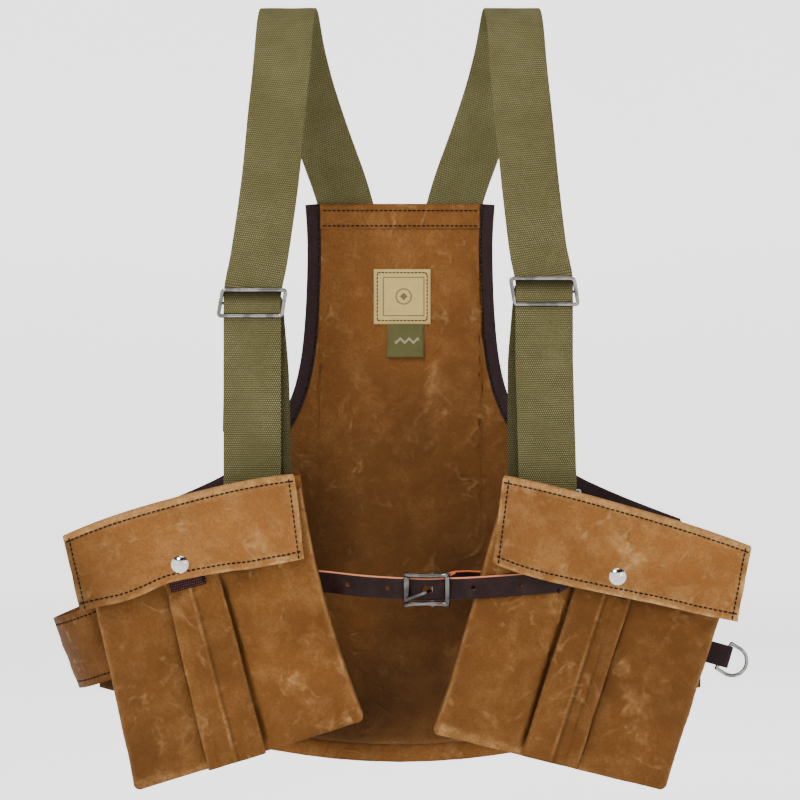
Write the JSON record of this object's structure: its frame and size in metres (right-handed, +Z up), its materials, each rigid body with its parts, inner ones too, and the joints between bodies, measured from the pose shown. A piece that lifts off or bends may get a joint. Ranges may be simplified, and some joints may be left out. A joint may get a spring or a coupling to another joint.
{
  "type": "fishing vest",
  "caption": "Waxed canvas strap vest with two flapped front pockets, a rear pouch, webbing shoulder straps with sliders, a leather chest strap with a roller buckle and a D-ring",
  "frame": {"origin": "top of the shoulder arches, midway between the two straps", "axes": "+Z up as worn, +X to the viewer's right when facing the front, the front faces -Y"},
  "size_m": [0.6118, 0.1914, 0.6886],
  "materials": {
    "canvas": "waxed, mottled",
    "light_canvas": "waxed, rubbed",
    "olive_webbing": "ribbed weave",
    "brown_webbing": "twill",
    "leather": "polished, tan edges",
    "nickel": "nickel plated",
    "label": "woven",
    "tag": "woven"
  },
  "bodies": {
    "vest": {"back_panel": "canvas", "top_facing": "canvas", "left_armhole_binding": "brown_webbing", "right_armhole_binding": "brown_webbing", "rear_pouch": "canvas", "label_patch": "label", "side_tag": "tag", "left_strap": "olive_webbing", "right_strap": "olive_webbing", "left_strap_loop": "olive_webbing", "right_strap_loop": "olive_webbing", "left_strap_ring": "nickel", "right_strap_ring": "nickel", "left_ring_tab": "brown_webbing", "right_ring_tab": "brown_webbing", "left_pocket_back": "canvas", "right_pocket_back": "canvas", "left_pocket_front": "canvas", "right_pocket_front": "canvas", "left_pleat_strip": "canvas", "right_pleat_strip": "canvas", "left_flap_root": "light_canvas", "right_flap_root": "light_canvas", "left_snap_stud": "nickel", "right_snap_stud": "nickel", "left_snap_post": "nickel", "right_snap_post": "nickel", "left_stud_tab": "brown_webbing", "right_stud_tab": "brown_webbing", "left_side_band": "canvas", "right_side_band": "canvas", "d_ring_tab": "brown_webbing", "buckle_frame": "nickel", "buckle_strap": "leather", "billet_strap": "leather"},
    "left_slider": {"left_slider": "nickel"},
    "right_slider": {"right_slider": "nickel"},
    "left_flap": {"left_flap": "light_canvas", "left_snap_cap": "nickel", "left_snap_socket": "nickel"},
    "right_flap": {"right_flap": "light_canvas", "right_snap_cap": "nickel", "right_snap_socket": "nickel"},
    "d_ring": {"d_ring": "nickel"},
    "buckle_roller": {"buckle_roller": "nickel"},
    "buckle_tongue": {"buckle_tongue": "nickel"}
  },
  "joints": [
    {"name": "left_flap_hinge", "type": "hinge", "parent": "vest", "child": "left_flap", "pos_m": [-0.189, -0.091, -0.44], "axis": [-0.9659, 0, -0.2588], "range_deg": [0, 165]},
    {"name": "right_flap_hinge", "type": "hinge", "parent": "vest", "child": "right_flap", "pos_m": [0.194, -0.091, -0.445], "axis": [-0.9613, 0, 0.2756], "range_deg": [0, 165]},
    {"name": "left_slider_slide", "type": "slide", "parent": "vest", "child": "left_slider", "axis": [0, 0, -1], "range_m": [0, 0.04], "deforming": ["left_strap_loop"]},
    {"name": "right_slider_slide", "type": "slide", "parent": "vest", "child": "right_slider", "axis": [0, 0, -1], "range_m": [0, 0.04], "deforming": ["right_strap_loop"]},
    {"name": "d_ring_swing", "type": "hinge", "parent": "vest", "child": "d_ring", "pos_m": [0.28088, -0.0571, -0.57082], "axis": [0.5299, 0, 0.848], "range_deg": [-80, 80]},
    {"name": "tongue_pivot", "type": "hinge", "parent": "vest", "child": "buckle_tongue", "pos_m": [0.028, -0.0763, -0.5114], "axis": [0, 0, 1], "range_deg": [0, 15]},
    {"name": "roller_turn", "type": "hinge", "parent": "vest", "child": "buckle_roller", "pos_m": [0.0055, -0.0823, -0.5114], "axis": [0, 0, 1], "continuous": true}
  ]
}
